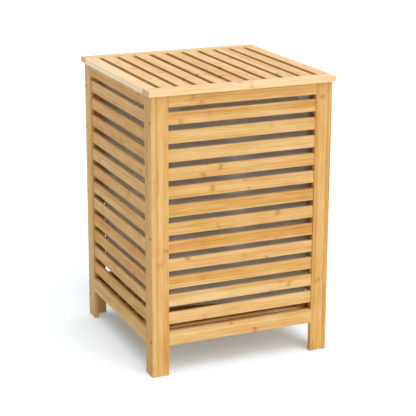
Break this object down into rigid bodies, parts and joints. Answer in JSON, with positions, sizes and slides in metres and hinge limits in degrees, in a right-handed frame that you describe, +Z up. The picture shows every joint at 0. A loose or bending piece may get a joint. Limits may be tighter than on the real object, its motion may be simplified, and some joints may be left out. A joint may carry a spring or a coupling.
{
  "type": "laundry hamper",
  "caption": "Upright laundry hamper: slatted bamboo body on four legs, hinged slatted lid and a hanging cloth bag inside.",
  "frame": {"origin": "on the floor, under the middle of the body", "axes": "+Z up, the front faces -Y, the lid's hinges are at the back (+Y)"},
  "size_m": [0.412, 0.412, 0.6],
  "materials": {
    "bamboo_frame": "satin lacquered bamboo",
    "bamboo_slat": "satin lacquered bamboo",
    "bag_cloth": "matt plain weave",
    "bag_webbing": "woven tape",
    "hook_tape": "matt hook tape",
    "screw_steel": "bluish grey metal",
    "hinge_steel": "brushed metal"
  },
  "bodies": {
    "hamper_frame": {"back_bottom_rail": "bamboo_frame", "back_left_stile": "bamboo_frame", "back_right_stile": "bamboo_frame", "back_slats": "bamboo_slat", "back_top_rail": "bamboo_frame", "bag_tabs": "bag_webbing", "floor_screws": "screw_steel", "floor_slats": "bamboo_slat", "front_bottom_rail": "bamboo_frame", "front_left_stile": "bamboo_frame", "front_right_stile": "bamboo_frame", "front_slat_01": "bamboo_slat", "front_slat_02": "bamboo_slat", "front_slat_03": "bamboo_slat", "front_slat_04": "bamboo_slat", "front_slat_05": "bamboo_slat", "front_slat_06": "bamboo_slat", "front_slat_07": "bamboo_slat", "front_slat_08": "bamboo_slat", "front_slat_09": "bamboo_slat", "front_slat_10": "bamboo_slat", "front_slat_11": "bamboo_slat", "front_slat_12": "bamboo_slat", "front_top_rail": "bamboo_frame", "hinge_frame_screws": "screw_steel", "hinge_pins": "hinge_steel", "hook_pads": "hook_tape", "laundry_bag": "bag_cloth", "left_back_stile": "bamboo_frame", "left_bottom_rail": "bamboo_frame", "left_floor_batten": "bamboo_frame", "left_frame_screws": "screw_steel", "left_front_stile": "bamboo_frame", "left_hinge_frame_leaf": "hinge_steel", "left_slats": "bamboo_slat", "left_top_rail": "bamboo_frame", "right_back_stile": "bamboo_frame", "right_bottom_rail": "bamboo_frame", "right_floor_batten": "bamboo_frame", "right_frame_screws": "screw_steel", "right_front_stile": "bamboo_frame", "right_hinge_frame_leaf": "hinge_steel", "right_slats": "bamboo_slat", "right_top_rail": "bamboo_frame"},
    "lid": {"hinge_lid_screws": "screw_steel", "left_hinge_lid_leaf": "hinge_steel", "lid_back_rail": "bamboo_frame", "lid_front_rail": "bamboo_frame", "lid_left_rail": "bamboo_frame", "lid_right_rail": "bamboo_frame", "lid_slat_01": "bamboo_slat", "lid_slat_02": "bamboo_slat", "lid_slat_03": "bamboo_slat", "lid_slat_04": "bamboo_slat", "lid_slat_05": "bamboo_slat", "lid_slat_06": "bamboo_slat", "lid_slat_07": "bamboo_slat", "lid_slat_08": "bamboo_slat", "lid_slat_09": "bamboo_slat", "right_hinge_lid_leaf": "hinge_steel"}
  },
  "joints": [
    {"name": "lid_hinge", "type": "hinge", "parent": "hamper_frame", "child": "lid", "pos_m": [0, 0.2015, 0.58815], "axis": [-1, 0, 0], "range_deg": [0, 95]}
  ]
}
